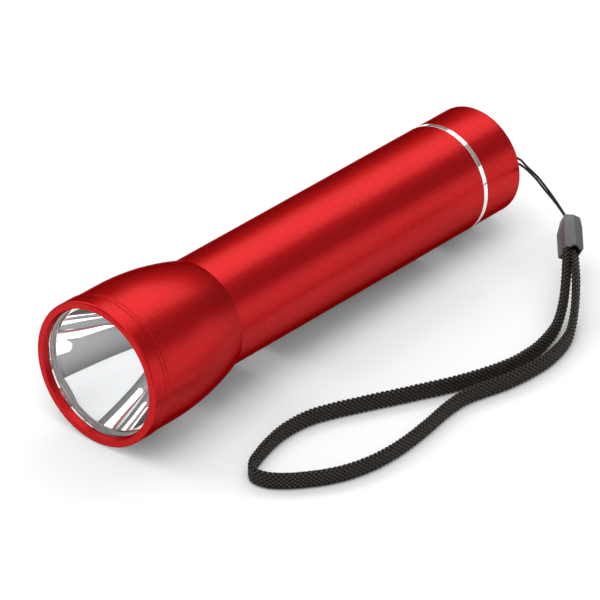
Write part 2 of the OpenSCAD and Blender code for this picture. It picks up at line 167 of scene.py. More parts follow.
# What each finish looks like: values under "shader" go straight onto the shader, and the
# names that the grain group has go into it
finishes = {
    "red_anodised": {
        "Colour": (0.58, 0.005, 0.007), "Roughness": 0.41, "Grain Size": 0.4,
        "Tone": 1.0, "Drift": 0.1, "Gloss Change": 0.14, "Relief": 0.16,
        "edgeFade": (0.3, 0.45, 0.75),  # coat weight, and where it starts and ends to fade
        "shader": {"Metallic": 1.0, "Specular Tint": (0.16, 0.02, 0.02, 1),
                   "Coat Roughness": 0.27}},
    "bright_trim": {
        "Colour": (0.90, 0.89, 0.87), "Roughness": 0.08, "Grain Size": 0.2,
        "Tone": 0.03, "Gloss Change": 0.03, "Relief": 0.0,
        "shader": {"Metallic": 1.0}},
    "mirror_reflector": {
        "Colour": (0.93, 0.93, 0.94), "Roughness": 0.03, "Grain Size": 0.5,
        "Tone": 0.01, "Gloss Change": 0.01, "Relief": 0.0,
        "shader": {"Metallic": 1.0}},
    "clear_lens": {
        "Colour": (0.985, 0.995, 0.995), "Roughness": 0.0,
        "Tone": 0.0, "Gloss Change": 0.0,
        "shader": {"Transmission Weight": 1.0, "IOR": 1.45}},
    "black_rubber": {
        "Colour": (0.016, 0.016, 0.017), "Roughness": 0.6, "Grain Size": 0.15,
        "Tone": 0.3, "Gloss Change": 0.1, "Relief": 0.3, "shader": {}},
    "pale_rubber": {
        "Colour": (0.78, 0.78, 0.77), "Roughness": 0.45, "Grain Size": 0.3,
        "Tone": 0.05, "Gloss Change": 0.05, "Relief": 0.05, "shader": {}},
    "white_plastic": {
        "Colour": (0.78, 0.78, 0.75), "Roughness": 0.4, "Grain Size": 0.3,
        "Tone": 0.05, "Gloss Change": 0.05, "Relief": 0.1, "shader": {}},
    "led_ceramic": {
        "Colour": (0.83, 0.80, 0.70), "Roughness": 0.55, "Grain Size": 0.1,
        "Tone": 0.06, "Gloss Change": 0.05, "Relief": 0.1, "shader": {}},
    "led_silicone": {
        "Colour": (0.85, 0.68, 0.10), "Roughness": 0.12, "Grain Size": 0.5,
        "Tone": 0.05, "Gloss Change": 0.02, "Relief": 0.0,
        "shader": {"Subsurface Weight": 0.2, "Subsurface Scale": 0.001,
                   "Coat Weight": 0.5}},
    "white_board": {
        "Colour": (0.80, 0.80, 0.77), "Roughness": 0.35, "Grain Size": 0.3,
        "Tone": 0.05, "Gloss Change": 0.05, "Relief": 0.05, "shader": {}},
    "green_board": {
        "Colour": (0.010, 0.085, 0.032), "Roughness": 0.3, "Grain Size": 0.4,
        "Tone": 0.3, "Gloss Change": 0.08, "Relief": 0.1, "shader": {}},
    "wire_plastic": {
        "Colour": (0.40, 0.010, 0.010), "Roughness": 0.35, "Grain Size": 0.2,
        "Tone": 0.1, "Gloss Change": 0.05, "Relief": 0.05, "shader": {}},
    "brass": {
        "Colour": (0.62, 0.42, 0.13), "Roughness": 0.28, "Grain Size": 0.12,
        "Stretch": (1, 0.05, 1), "Tone": 0.2, "Gloss Change": 0.12, "Relief": 0.1,
        "shader": {"Metallic": 1.0}},
    "gold_contact": {
        "Colour": (0.85, 0.58, 0.20), "Roughness": 0.22, "Grain Size": 0.2,
        "Tone": 0.1, "Gloss Change": 0.08, "Relief": 0.05,
        "shader": {"Metallic": 1.0}},
    "steel": {
        "Colour": (0.60, 0.59, 0.58), "Roughness": 0.28, "Grain Size": 0.15,
        "Tone": 0.12, "Gloss Change": 0.1, "Relief": 0.05,
        "shader": {"Metallic": 1.0}},
    "bare_aluminium": {
        "Colour": (0.72, 0.72, 0.73), "Roughness": 0.3, "Grain Size": 0.12,
        "Stretch": (1, 0.05, 1), "Tone": 0.12, "Gloss Change": 0.1, "Relief": 0.1,
        "shader": {"Metallic": 1.0}},
    "black_plastic": {
        "Colour": (0.018, 0.018, 0.020), "Roughness": 0.42, "Grain Size": 0.2,
        "Tone": 0.2, "Gloss Change": 0.1, "Relief": 0.15, "shader": {}},
    "cell_wrap": {
        "Colour": (0.035, 0.055, 0.090), "Roughness": 0.25, "Grain Size": 1.2,
        "Tone": 0.1, "Gloss Change": 0.05, "Relief": 0.03,
        "shader": {"Coat Weight": 0.4}},
    "black_string": {
        "Colour": (0.004, 0.004, 0.004), "Roughness": 0.6, "Grain Size": 0.06,
        "Tone": 0.6, "Gloss Change": 0.2, "Relief": 0.5,
        "shader": {"Specular IOR Level": 0.3}},
    "black_braid": {
        "Colour": (0.004, 0.0037, 0.0035), "Roughness": 0.5, "Grain Size": 0.07,
        "Tone": 0.9, "Drift": 0.2, "Gloss Change": 0.2, "Relief": 0.5,
        # the colour of the painted highlight on the stitch crowns
        "raised": (0.105, 0.078, 0.058),
        "shader": {"Specular IOR Level": 0.3}},
    "grey_clip": {
        "Colour": (0.105, 0.105, 0.110), "Roughness": 0.34, "Grain Size": 0.12,
        "Tone": 0.15, "Gloss Change": 0.08, "Relief": 0.2, "shader": {}},
}


def makeFinish(name, look, grainGroup):
    material = bpy.data.materials.new(name)
    material.use_nodes = True
    tree = material.node_tree
    shader = tree.nodes["Principled BSDF"]
    for key, value in look["shader"].items():
        shader.inputs[key].default_value = value
    shader.inputs["Base Color"].default_value = (*look["Colour"], 1)
    shader.inputs["Roughness"].default_value = look["Roughness"]
    if not look["Tone"] and not look["Gloss Change"]:
        return material  # even all over, so it needs no grain
    grain = addNode(tree, "ShaderNodeGroup", node_tree=grainGroup)
    for key, value in look.items():
        if key == "Colour":
            value = (*value, 1)
        if key in grain.inputs:
            grain.inputs[key].default_value = value
    colour = grain.outputs["Colour"]
    if "raised" in look:
        # painted highlight: the crowns of the stitches get a lighter colour that stands in for the sheen light
        # puts on them
        crown = addNode(tree, "ShaderNodeAttribute", attribute_name="crown").outputs["Fac"]
        colour = addNode(tree, "ShaderNodeMix", {
            0: crown, 6: colour, 7: (*look["raised"], 1)}, data_type="RGBA").outputs[2]
    if "edgeFade" in look:
        # the clear sealed layer shows least where the surface turns away
        most, start, end = look["edgeFade"]
        facing = addNode(tree, "ShaderNodeLayerWeight").outputs["Facing"]
        fade = addNode(tree, "ShaderNodeMapRange", {
            "Value": facing, "From Min": start, "From Max": end,
            "To Min": most, "To Max": 0.0})
        tree.links.new(fade.outputs[0], shader.inputs["Coat Weight"])
    tree.links.new(colour, shader.inputs["Base Color"])
    tree.links.new(grain.outputs["Roughness"], shader.inputs["Roughness"])
    if look["Relief"] > 0:
        tree.links.new(grain.outputs["Normal"], shader.inputs["Normal"])
    return material


grainGroup = makeGrainGroup(grainShape)
materials = {name: makeFinish(name, look, grainGroup) for name, look in finishes.items()}
print("finishes made:", len(materials))


def smoothRoute(points, steps):
    # The same curve as the cord solids follow, with every gap in equal steps
    rows = [Vector(p) for p in points]
    last = len(rows) - 1
    out = []
    for i in range(last):
        a, b, c, d = rows[max(i - 1, 0)], rows[i], rows[i + 1], rows[min(i + 2, last)]
        for k in range(steps):
            t = k / steps
            out.append(b + t * (c - a) / 2 + t * t * (a - 2.5 * b + 2 * c - d / 2)
                       + t ** 3 * (1.5 * (b - c) + (d - a) / 2))
    return out + [rows[last]]


def addPiece(name, mesh, body, slotName, replaced):
    piece = bpy.data.objects.new(name, mesh)
    bpy.context.scene.collection.objects.link(piece)
    if not mesh.materials:
        mesh.materials.append(materials[slotName])
    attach(piece, body)
    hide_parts(*replaced)
    return piece


sharpAngle = math.radians(35)  # edges that turn more than this are shaded sharp
joinDistance = 1e-7  # points closer than this are made one
pointRadius = 1e-6  # millimetres: a ring narrower than this closes into a point


def meshFrom(name, bm, place=None):
    # Closes the work on a shape: joined points, outward faces and smooth shading
    if place:
        bmesh.ops.transform(bm, matrix=place, verts=bm.verts)
    bmesh.ops.remove_doubles(bm, verts=bm.verts, dist=joinDistance)
    bmesh.ops.recalc_face_normals(bm, faces=bm.faces)
    mesh = bpy.data.meshes.new(name)
    bm.to_mesh(mesh)
    bm.free()
    mesh.shade_smooth()
    mesh.set_sharp_from_angle(angle=sharpAngle)
    return mesh


def evaluatedMesh(piece):
    depsgraph = bpy.context.evaluated_depsgraph_get()
    return bpy.data.meshes.new_from_object(
        piece.evaluated_get(depsgraph), preserve_all_data_layers=True, depsgraph=depsgraph)


def carve(mesh, cutters):
    # Cuts every cutter mesh out of a mesh and gives the result as a new mesh
    link = bpy.context.scene.collection.objects.link
    work = bpy.data.objects.new("carving", mesh)
    link(work)
    tools = []
    for cutter in cutters:
        tool = bpy.data.objects.new("cutter", cutter)
        link(tool)
        tools.append(tool)
        modifier = work.modifiers.new("cut", "BOOLEAN")
        modifier.object = tool
        modifier.solver = "EXACT"
    result = evaluatedMesh(work)
    for spare in [work, *tools]:
        bpy.data.objects.remove(spare)
    result.shade_smooth()
    result.set_sharp_from_angle(angle=sharpAngle)
    return result


def roundCorners(corners, steps=4, guard=0.15):
    # corners are (radius, distance back, fillet); guard keeps the shading of flats flat
    count = len(corners)
    places = [Vector(c[:2]) for c in corners]
    reach = []
    for i, corner in enumerate(corners):
        a = places[i - 1] - places[i]
        b = places[(i + 1) % count] - places[i]
        reach.append(corner[2] / math.tan(a.angle(b) / 2) if corner[2] else 0)
    out = []
    for i, (here, corner) in enumerate(zip(places, corners)):
        after = (i + 1) % count
        a, b = places[i - 1] - here, places[after] - here
        roomA = a.length - reach[i] - reach[i - 1] > 3 * guard
        roomB = b.length - reach[i] - reach[after] > 3 * guard
        a, b = a.normalized(), b.normalized()
        if not corner[2]:
            out.append(here)
            continue
        half = a.angle(b) / 2
        centre = here + (a + b).normalized() * corner[2] / math.sin(half)
        first, last = here + a * reach[i] - centre, here + b * reach[i] - centre
        if roomA:
            out.append(centre + first + a * guard)
        sweep = first.angle_signed(last)  # positive is clockwise
        for k in range(steps + 1):
            angle = -sweep * k / steps
            turn = Matrix.Rotation(angle, 2)
            out.append(centre + turn @ first)
        if roomB:
            out.append(centre + last + b * guard)
    return out


def cutThread(profile, thread, pointsPerPitch=12, near=0.01):
    # Adds points along the straight stretch that carries a thread, with its depth
    rows = []
    for i, point in enumerate(profile):
        after = profile[(i + 1) % len(profile)]
        rows.append((point[0], point[1], 0))
        onThread = all(abs(q[0] - thread["radius"]) < near for q in (point, after))
        low, high = sorted((point[1], after[1]))
        if onThread and low < thread["start"] and high > thread["end"]:
            long = thread["end"] - thread["start"]
            count = math.ceil(long / thread["pitch"] * pointsPerPitch)
            run = [thread["start"] + long * k / count for k in range(count + 1)]
            if point[1] > after[1]:
                run.reverse()
            for s in run:
                edge = min(s - thread["start"], thread["end"] - s) / (thread["pitch"] / 2)
                rows.append((point[0], s, thread["depth"] * min(1, edge)))
    return rows


def latheMesh(name, corners, thread=None, segments=192, guard=0.15):
    profile = [(p[0], p[1], 0) for p in roundCorners(corners, guard=guard)]
    if thread:
        profile = cutThread(profile, thread)
    bm = bmesh.new()
    rings = []
    for radius, s, depth in profile:
        ring = []
        for k in range(segments):
            angle = fullTurn * k / segments
            cut = 0
            if depth:
                cut = depth * (0.5 - 0.5 * math.cos(fullTurn * s / thread["pitch"] - angle))
            r = max(radius - cut, 0)
            ring.append(bm.verts.new((r * math.cos(angle), r * math.sin(angle), s)))
        rings.append(ring)
    for i, ring in enumerate(rings):
        after = rings[(i + 1) % len(rings)]
        for k in range(segments):
            m = (k + 1) % segments
            bm.faces.new((ring[k], ring[m], after[m], after[k]))
    if any(r < pointRadius for r, s, depth in profile):
        bmesh.ops.dissolve_degenerate(bm, dist=pointRadius, edges=bm.edges)
    return meshFrom(name, bm, torchScale)


def pathCarrier(points, leans=None):
    # A bare line of points for Geometry Nodes to build on
    mesh = bpy.data.meshes.new("route")
    mesh.from_pydata([p[:3] for p in points], [(i, i + 1) for i in range(len(points) - 1)], [])
    if leans:
        values = mesh.attributes.new("lean", "FLOAT", "POINT")
        for i, lean in enumerate(leans):
            values.data[i].value = lean
    carrier = bpy.data.objects.new("routeCarrier", mesh)
    bpy.context.scene.collection.objects.link(carrier)
    return carrier


def growMesh(name, carrier, tree, values):
    # Runs a Geometry Nodes tree on the carrier and keeps what it makes as a plain mesh
    modifier = carrier.modifiers.new(name, "NODES")
    modifier.node_group = tree
    for item in tree.interface.items_tree:
        if item.in_out == "INPUT" and item.name in values:
            modifier[item.identifier] = values[item.name]
    mesh = evaluatedMesh(carrier)
    mesh.name = name
    carrier.modifiers.clear()
    bpy.data.objects.remove(carrier)
    if "lean" in mesh.attributes:
        mesh.attributes.remove(mesh.attributes["lean"])
    return mesh


# The wrist strap: route points are x, y, z and how far the strap leans, in degrees
wristStrap = {
    "width": 4.0,
    "thickness": 1.6,
    "columns": 18,  # stitches round the strap, even
    "rows": 430,
    "bareRows": 8,
    "stitch": (0.50, 0.88, 0.52),  # millimetres across, along and high
    "stitchTurn": 33,  # degrees off the strap's length, to alternate sides
    "unevenness": 0.07,  # of the stitches' size
    "roundness": 0.42,  # of the core's edges, as a share of its thickness
    "seed": 7,
    "stepsPerGap": 12,
    "route": [
        (0.0368, 0.0540, 0.0114, 20), (0.0399, 0.0505, 0.0097, 20),
        (0.0440, 0.0460, 0.0079, 14), (0.0475, 0.0415, 0.0053, 8),
        (0.0509, 0.0363, 0.0033, 3), (0.0536, 0.0306, 0.0022, 0),
        (0.0552, 0.0225, 0.00205, 0), (0.0550, 0.0150, 0.00205, 0),
        (0.0539, 0.0083, 0.00205, 0), (0.0521, 0.0025, 0.00205, 0),
        (0.0510, -0.0025, 0.00205, 0), (0.0512, -0.0085, 0.00205, 0),
        (0.0524, -0.0175, 0.00205, 0), (0.0530, -0.0260, 0.00205, 0),
        (0.0526, -0.0332, 0.00205, 0), (0.0512, -0.0393, 0.00205, 0),
        (0.0490, -0.0443, 0.00205, 0), (0.0462, -0.0484, 0.00205, 0),
        (0.0430, -0.0520, 0.00205, 0), (0.0396, -0.0544, 0.00205, 0),
        (0.0362, -0.0548, 0.00205, 0), (0.0337, -0.0527, 0.00205, 0),
        (0.0322, -0.0489, 0.00205, 0), (0.0307, -0.0432, 0.00205, 0),
        (0.0299, -0.0370, 0.00205, 0), (0.0305, -0.0305, 0.00205, 0),
        (0.0325, -0.0250, 0.00205, 0), (0.0350, -0.0200, 0.00205, 0),
        (0.0375, -0.0152, 0.00205, 0), (0.0401, -0.0104, 0.00205, 0),
        (0.0426, -0.0056, 0.00205, 0), (0.0451, -0.0008, 0.00205, 0),
        (0.0474, 0.0044, 0.00205, 0), (0.0494, 0.0101, 0.00205, 0),
        (0.0508, 0.0166, 0.00205, 0), (0.0508, 0.0240, 0.0021, 0),
        (0.0493, 0.0318, 0.0027, -3), (0.0469, 0.0374, 0.0044, -8),
        (0.0438, 0.0425, 0.0069, -14), (0.0389, 0.0493, 0.0103, -20),
        (0.0357, 0.0528, 0.0119, -20)],
}


def braidTree():
    # Stitches in a staggered grid over a flat core that follows a line
    tree = bpy.data.node_groups.new("braidedStrap", "GeometryNodeTree")
    addSocket(tree, "Line", "Geometry")
    for name in ("Width", "Thickness", "Roundness", "Stitch Turn", "Unevenness"):
        addSocket(tree, name, "Float", 0.001)
    for name in ("Columns", "Rows", "Bare Rows", "Seed"):
        addSocket(tree, name, "Int", 4)
    addSocket(tree, "Stitch", "Vector")
    addSocket(tree, "Finish", "Material")
    addSocket(tree, "Strap", "Geometry", out=True)
    given = tree.nodes.new("NodeGroupInput").outputs

    def maths(operation, a, b):
        return addNode(tree, "ShaderNodeMath", {0: a, 1: b}, operation=operation).outputs[0]

    line = addNode(tree, "GeometryNodeMeshToCurve", {"Mesh": given["Line"]})
    lean = addNode(tree, "GeometryNodeInputNamedAttribute", {"Name": "lean"},
                   data_type="FLOAT")
    tilted = addNode(tree, "GeometryNodeSetCurveTilt", {
        "Curve": line.outputs[0], "Tilt": lean.outputs["Attribute"]})
    upright = addNode(tree, "GeometryNodeSetCurveNormal", {"Curve": tilted.outputs[0]},
                      mode="Z_UP")
    even = addNode(tree, "GeometryNodeResampleCurve", {
        "Curve": upright.outputs[0], "Count": given["Rows"]}, mode="COUNT")
    index = tree.nodes.new("GeometryNodeInputIndex").outputs[0]
    tangent = tree.nodes.new("GeometryNodeInputTangent").outputs[0]
    held = tree.nodes.new("GeometryNodeCaptureAttribute")
    held.capture_items.new("INT", "Row")
    held.capture_items.new("VECTOR", "Along")
    tree.links.new(even.outputs[0], held.inputs[0])
    tree.links.new(index, held.inputs["Row"])
    tree.links.new(tangent, held.inputs["Along"])

    # The core's section: flat, with round edges, set in by half a stitch
    inset = addNode(tree, "ShaderNodeSeparateXYZ", {0: given["Stitch"]}).outputs[2]
    thick = maths("SUBTRACT", given["Thickness"], inset)
    wide = maths("SUBTRACT", given["Width"], inset)
    flat = addNode(tree, "GeometryNodeCurvePrimitiveQuadrilateral", {
        "Width": thick, "Height": wide})
    rounded = addNode(tree, "GeometryNodeFilletCurve", {
        "Curve": flat.outputs[0], "Count": 6,
        "Radius": maths("MULTIPLY", thick, given["Roundness"])}, mode="POLY")
    section = addNode(tree, "GeometryNodeResampleCurve", {
        "Curve": rounded.outputs[0], "Count": given["Columns"]}, mode="COUNT")
    heldColumn = tree.nodes.new("GeometryNodeCaptureAttribute")
    heldColumn.capture_items.new("INT", "Column")
    tree.links.new(section.outputs[0], heldColumn.inputs[0])
    tree.links.new(index, heldColumn.inputs["Column"])
    core = addNode(tree, "GeometryNodeCurveToMesh", {
        "Curve": held.outputs[0], "Profile Curve": heldColumn.outputs[0],
        "Fill Caps": True})

    row, column = held.outputs["Row"], heldColumn.outputs["Column"]
    staggered = maths("LESS_THAN", maths("MODULO", maths("ADD", row, column), 2.0), 0.5)
    # no stitches on the ends, which are held inside the clip
    farRow = maths("SUBTRACT", given["Rows"], given["Bare Rows"])
    inside = maths("MULTIPLY", maths("GREATER_THAN", row, given["Bare Rows"]),
                   maths("LESS_THAN", row, farRow))
    chosen = maths("MULTIPLY", staggered, inside)
    side = maths("SUBTRACT", maths("MULTIPLY", maths("MODULO", row, 2.0), 2.0), 1.0)
    normal = tree.nodes.new("GeometryNodeInputNormal").outputs[0]
    standing = addNode(tree, "FunctionNodeAlignRotationToVector", {"Vector": normal},
                       axis="Z")
    lying = addNode(tree, "FunctionNodeAlignRotationToVector", {
        "Rotation": standing.outputs[0], "Vector": held.outputs["Along"]},
        axis="Y", pivot_axis="Z")
    turn = addNode(tree, "FunctionNodeAxisAngleToRotation", {
        "Axis": (0, 0, 1), "Angle": maths("MULTIPLY", side, given["Stitch Turn"])})
    turned = addNode(tree, "FunctionNodeRotateRotation", {
        "Rotation": lying.outputs[0], "Rotate By": turn.outputs[0]},
        rotation_space="LOCAL")
    jitter = addNode(tree, "FunctionNodeRandomValue", {
        2: maths("SUBTRACT", 1.0, given["Unevenness"]),
        3: maths("ADD", 1.0, given["Unevenness"]), "Seed": given["Seed"]},
        data_type="FLOAT")
    size = addNode(tree, "ShaderNodeVectorMath", {
        0: given["Stitch"], "Scale": jitter.outputs[1]}, operation="SCALE")
    # Each stitch is a bead one unit across, with a mask on its crown where the painted highlight goes
    bead = addNode(tree, "GeometryNodeMeshUVSphere", {
        "Segments": 6, "Rings": 6, "Radius": 0.5})
    place = addNode(tree, "GeometryNodeInputPosition").outputs[0]
    height = addNode(tree, "ShaderNodeSeparateXYZ", {0: place}).outputs[2]
    crown = addNode(tree, "ShaderNodeMapRange", {
        "Value": height, "From Min": 0.25, "From Max": 0.5}).outputs[0]
    marked = addNode(tree, "GeometryNodeStoreNamedAttribute", {
        "Geometry": bead.outputs[0], "Name": "crown", "Value": crown}, data_type="FLOAT")
    stitches = addNode(tree, "GeometryNodeInstanceOnPoints", {
        "Points": core.outputs[0], "Selection": chosen, "Instance": marked.outputs[0],
        "Rotation": turned.outputs[0], "Scale": size.outputs[0]})
    joined = tree.nodes.new("GeometryNodeJoinGeometry")
    tree.links.new(core.outputs[0], joined.inputs[0])
    tree.links.new(stitches.outputs[0], joined.inputs[0])
    soft = addNode(tree, "GeometryNodeSetShadeSmooth", {0: joined.outputs[0]})
    plain = addNode(tree, "GeometryNodeRealizeInstances", {0: soft.outputs[0]})
    painted = addNode(tree, "GeometryNodeSetMaterial", {
        "Geometry": plain.outputs[0], "Material": given["Finish"]})
    addNode(tree, "NodeGroupOutput", {0: painted.outputs[0]})
    return tree


def makeStrap(spec):
    route = smoothRoute(spec["route"], spec["stepsPerGap"])
    carrier = pathCarrier(route, [math.radians(p[3]) for p in route])
    mesh = growMesh("wristStrap", carrier, braidTree(), {
        "Width": spec["width"] * mm, "Thickness": spec["thickness"] * mm,
        "Columns": spec["columns"], "Rows": spec["rows"], "Bare Rows": spec["bareRows"],
        "Seed": spec["seed"], "Unevenness": spec["unevenness"],
        "Roundness": spec["roundness"], "Stitch": [v * mm for v in spec["stitch"]],
        "Stitch Turn": math.radians(spec["stitchTurn"]),
        "Finish": materials["black_braid"]})
    return addPiece("wristStrap", mesh, "tail", "black_braid", ["wrist_strap"]), route


strap, strapRoute = makeStrap(wristStrap)
print("strap made:", len(strap.data.polygons), "faces")

# The string: out of the clip, round the pin in the tail cap and back
lanyardString = {
    "diameter": 0.58,  # over the crowns of the plies
    "plies": 3,
    "groove": 0.12,  # depth between the plies, as a share of the radius
    "layLength": 1.5,  # millimetres for one whole twist
    "samples": 620,
    "sectionPoints": 18,
    "stepsPerGap": 8,
    "route": [
        (0.0359, 0.0544, 0.0119), (0.0333, 0.05685, 0.0129), (0.0309, 0.05835, 0.01315),
        (0.02625, 0.06105, 0.01365), (0.0216, 0.06335, 0.0144), (0.0174, 0.06545, 0.0147),
        (0.0132, 0.06705, 0.0149), (0.0102, 0.0681, 0.0153), (0.0087, 0.0672, 0.0156),
        (0.0086, 0.0650, 0.0156), (0.0086, 0.0633, 0.0156), (0.0087, 0.0626, 0.0152),
        (0.0088, 0.0623, 0.0145), (0.0089, 0.0626, 0.0138), (0.0090, 0.0633, 0.0135),
        (0.0090, 0.0650, 0.0135), (0.0092, 0.0666, 0.0138), (0.0104, 0.0672, 0.0146),
        (0.0129, 0.0666, 0.0147), (0.0171, 0.0650, 0.0145), (0.0213, 0.0629, 0.0142),
        (0.0260, 0.0606, 0.0139), (0.0307, 0.0580, 0.0136), (0.0331, 0.0564, 0.0133),
        (0.0354, 0.0539, 0.0121)],
}


def twistTree():
    # A round section with grooves between its plies, which turns along the line
    tree = bpy.data.node_groups.new("twistedString", "GeometryNodeTree")
    addSocket(tree, "Line", "Geometry")
    for name in ("Radius", "Groove", "Lay Length"):
        addSocket(tree, name, "Float", 0.001)
    for name in ("Plies", "Samples", "Section Points"):
        addSocket(tree, name, "Int", 3)
    addSocket(tree, "Finish", "Material")
    addSocket(tree, "String", "Geometry", out=True)
    given = tree.nodes.new("NodeGroupInput").outputs

    def maths(operation, a, b):
        return addNode(tree, "ShaderNodeMath", {0: a, 1: b}, operation=operation).outputs[0]

    line = addNode(tree, "GeometryNodeMeshToCurve", {"Mesh": given["Line"]})
    even = addNode(tree, "GeometryNodeResampleCurve", {
        "Curve": line.outputs[0], "Count": given["Samples"]}, mode="COUNT")
    done = tree.nodes.new("GeometryNodeSplineParameter").outputs["Length"]
    angle = maths("MULTIPLY", maths("DIVIDE", done, given["Lay Length"]), fullTurn)
    twisted = addNode(tree, "GeometryNodeSetCurveTilt", {
        "Curve": even.outputs[0], "Tilt": angle})
    circle = addNode(tree, "GeometryNodeCurvePrimitiveCircle", {
        "Resolution": given["Section Points"], "Radius": given["Radius"]})
    index = tree.nodes.new("GeometryNodeInputIndex").outputs[0]
    around = maths("MULTIPLY", maths("DIVIDE", index, given["Section Points"]), fullTurn)
    wave = addNode(tree, "ShaderNodeMath", {0: maths("MULTIPLY", around, given["Plies"])},
                   operation="COSINE").outputs[0]
    dip = maths("MULTIPLY", maths("SUBTRACT", 1.0, wave), given["Groove"])
    share = maths("SUBTRACT", 1.0, dip)
    position = tree.nodes.new("GeometryNodeInputPosition").outputs[0]
    drawn = addNode(tree, "ShaderNodeVectorMath", {0: position, "Scale": share},
                    operation="SCALE")
    section = addNode(tree, "GeometryNodeSetPosition", {
        "Geometry": circle.outputs[0], "Position": drawn.outputs[0]})
    swept = addNode(tree, "GeometryNodeCurveToMesh", {
        "Curve": twisted.outputs[0], "Profile Curve": section.outputs[0],
        "Fill Caps": True})
    soft = addNode(tree, "GeometryNodeSetShadeSmooth", {0: swept.outputs[0]})
    plain = addNode(tree, "GeometryNodeRealizeInstances", {0: soft.outputs[0]})
    painted = addNode(tree, "GeometryNodeSetMaterial", {
        "Geometry": plain.outputs[0], "Material": given["Finish"]})
    addNode(tree, "NodeGroupOutput", {0: painted.outputs[0]})
    return tree


def makeString(spec):
    route = smoothRoute(spec["route"], spec["stepsPerGap"])
    mesh = growMesh("lanyardString", pathCarrier(route), twistTree(), {
        "Radius": spec["diameter"] / 2 * mm, "Groove": spec["groove"],
        "Lay Length": spec["layLength"] * mm, "Plies": spec["plies"],
        "Samples": spec["samples"], "Section Points": spec["sectionPoints"],
        "Finish": materials["black_string"]})
    return addPiece("lanyardString", mesh, "tail", "black_string",
                    ["lanyard_string"]), route


string, stringRoute = makeString(lanyardString)
print("string made:", len(string.data.polygons), "faces")

# The clip, drawn upright on its strap end in millimetres, then turned and leaned
clip = {
    "foot": (0.0394, 0.0499, 0.0100),
    "turns": (-70.5, 41.4, 20),  # degrees: leaned back, turned round, rolled
    "footOutline": [(-1.9, -2.15), (0.1, -2.6), (1.9, -2.15), (1.9, 2.4), (-1.9, 2.4)],
    "outline": [(-2.2, -2.35), (0.1, -2.85), (2.2, -2.35), (2.2, 2.3), (1.8, 2.7),
                (-1.8, 2.7), (-2.2, 2.3)],
    "topOutline": [(-1.8, -2.0), (0.1, -2.5), (1.95, -2.0), (1.95, 0.9), (-1.8, 0.9)],
    "heights": (0, 0.3, 6.6, 9.6),  # of the foot, the straight stretch and the top
    "edge": 0.22,
    "split": -2.1,
    "splitEdge": 0.07,
    "seam": 0.05,
    "notchCentre": (0.1, -0.25),
    "notchRadius": 1.0,
    "strapRoom": ((-1.8, -2.3, -1), (1.8, 2.15, 5.1)),
    "stringRoom": ((-0.9, -0.45, 5.8), (0.9, 0.45, 10.6)),
}


def clipMatrix(spec):
    lean, turn, roll = (math.radians(v) for v in spec["turns"])
    return (Matrix.Translation(spec["foot"]) @ Matrix.Rotation(turn, 4, "Z")
            @ Matrix.Rotation(lean, 4, "X") @ Matrix.Rotation(roll, 4, "Z")
            @ Matrix.Scale(mm, 4))


def boxMesh(name, low, high):
    bm = bmesh.new()
    bmesh.ops.create_cube(bm, size=1)
    low, high = Vector(low), Vector(high)
    bmesh.ops.transform(bm, verts=bm.verts, matrix=Matrix.Translation((low + high) / 2)
                        @ Matrix.Diagonal((*(high - low), 1)))
    return meshFrom(name, bm)


def rodMesh(name, start, end, radius, segments=48):
    # A plain rod between two points, for cutting
    bm = bmesh.new()
    start, end = Vector(start), Vector(end)
    turn = (end - start).to_track_quat("Z", "Y").to_matrix().to_4x4()
    bmesh.ops.create_cone(bm, cap_ends=True, segments=segments, radius1=radius,
                          radius2=radius, depth=(end - start).length,
                          matrix=Matrix.Translation((start + end) / 2) @ turn)
    return meshFrom(name, bm)


def clipHalfMesh(spec, front):
    outlines = (spec["footOutline"], spec["outline"], spec["outline"], spec["topOutline"])
    bm = bmesh.new()
    for z, outline in zip(spec["heights"], outlines):
        for x, y in outline:
            bm.verts.new((x, y, z))
    hull = bmesh.ops.convex_hull(bm, input=bm.verts)
    spare = {v for v in hull["geom_interior"] + hull["geom_unused"]
             if isinstance(v, bmesh.types.BMVert)}
    bmesh.ops.delete(bm, geom=list(spare), context="VERTS")
    bmesh.ops.dissolve_limit(bm, angle_limit=0.03, verts=bm.verts, edges=bm.edges)
    bmesh.ops.bevel(bm, geom=bm.edges[:], offset=spec["edge"], offset_type="OFFSET",
                    segments=3, profile=0.5, affect="EDGES", clamp_overlap=True)
    # one half is kept, back from the split by half the seam
    gap = -spec["seam"] / 2 if front else spec["seam"] / 2
    cut = bmesh.ops.bisect_plane(
        bm, geom=bm.verts[:] + bm.edges[:] + bm.faces[:], plane_no=(0, 1, 0),
        plane_co=(0, spec["split"] + gap, 0), clear_outer=front, clear_inner=not front)
    rim = [e for e in cut["geom_cut"] if isinstance(e, bmesh.types.BMEdge)]
    lid = bmesh.ops.edgeloop_fill(bm, edges=rim)["faces"]
    bmesh.ops.bevel(bm, geom=list(lid[0].edges), offset=spec["splitEdge"],
                    offset_type="OFFSET", segments=2, profile=0.5, affect="EDGES",
                    clamp_overlap=True)
    shell = meshFrom("clipShell", bm)
    x, z = spec["notchCentre"]
    cutters = [rodMesh("notch", (x, -6, z), (x, 6, z), spec["notchRadius"])]
    if not front:
        cutters.append(boxMesh("strapRoom", *spec["strapRoom"]))
        cutters.append(boxMesh("stringRoom", *spec["stringRoom"]))
    solid = carve(shell, cutters)
    bm = bmesh.new()
    bm.from_mesh(solid)
    return meshFrom("clipCover" if front else "clipBase", bm, clipMatrix(spec))


clipCover = addPiece("clipCover", clipHalfMesh(clip, True), "tail", "grey_clip",
                     ["clip_cover"])
clipBase = addPiece("clipBase", clipHalfMesh(clip, False), "tail", "grey_clip",
                    ["clip_base"])

